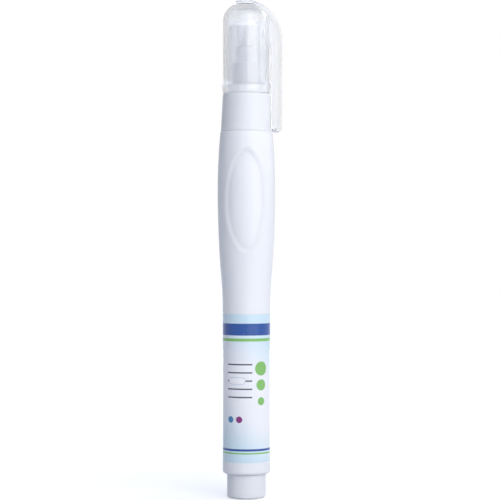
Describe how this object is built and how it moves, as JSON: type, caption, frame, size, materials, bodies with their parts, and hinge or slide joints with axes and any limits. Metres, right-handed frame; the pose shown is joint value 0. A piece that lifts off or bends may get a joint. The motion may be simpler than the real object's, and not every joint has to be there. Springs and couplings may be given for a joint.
{
  "type": "correction pen",
  "caption": "Squeeze correction pen with oval squeeze pads in a swollen white barrel, a sprung needle valve in a metal tip, and a clear push-on cap with a clip.",
  "frame": {"origin": "centre of the end plug's rear face", "axes": "+Z along the pen from the rear towards the cap, +X towards the clip, -Y is the side that the picture shows"},
  "size_m": [0.0175, 0.015, 0.135],
  "materials": {
    "white_plastic": "satin",
    "clear_plastic": "gloss",
    "label_film": "gloss",
    "tip_metal": "polished",
    "steel": "satin"
  },
  "bodies": {
    "pen_body": {"barrel": "white_plastic", "label_sleeve": "label_film", "end_plug": "white_plastic", "nozzle_head": "white_plastic", "metal_tip": "tip_metal", "spring_retainer": "white_plastic", "valve_spring": "steel"},
    "cap": {"cap_shell": "clear_plastic", "cap_liner": "clear_plastic"},
    "front_pad": {"squeeze_pad_front": "white_plastic"},
    "rear_pad": {"squeeze_pad_rear": "white_plastic"},
    "needle": {"valve_needle": "steel"},
    "ball": {"mixing_ball": "steel"}
  },
  "joints": [
    {"name": "cap_pull", "type": "slide", "parent": "pen_body", "child": "cap", "axis": [0, 0, 1], "range_m": [0, 0.035]},
    {"name": "front_pad_press", "type": "slide", "parent": "pen_body", "child": "front_pad", "axis": [0, 1, 0], "range_m": [0, 0.0012], "stiffness_N_per_m": 3000},
    {"name": "rear_pad_press", "type": "slide", "parent": "pen_body", "child": "rear_pad", "axis": [0, -1, 0], "range_m": [0, 0.0012], "stiffness_N_per_m": 3000},
    {"name": "needle_press", "type": "slide", "parent": "pen_body", "child": "needle", "axis": [0, 0, -1], "range_m": [0, 0.00035], "stiffness_N_per_m": 400, "springref_m": -0.001, "deforming": ["valve_spring"]},
    {"name": "ball_travel", "type": "slide", "parent": "pen_body", "child": "ball", "axis": [0, 0, 1], "range_m": [0, 0.0985]}
  ]
}
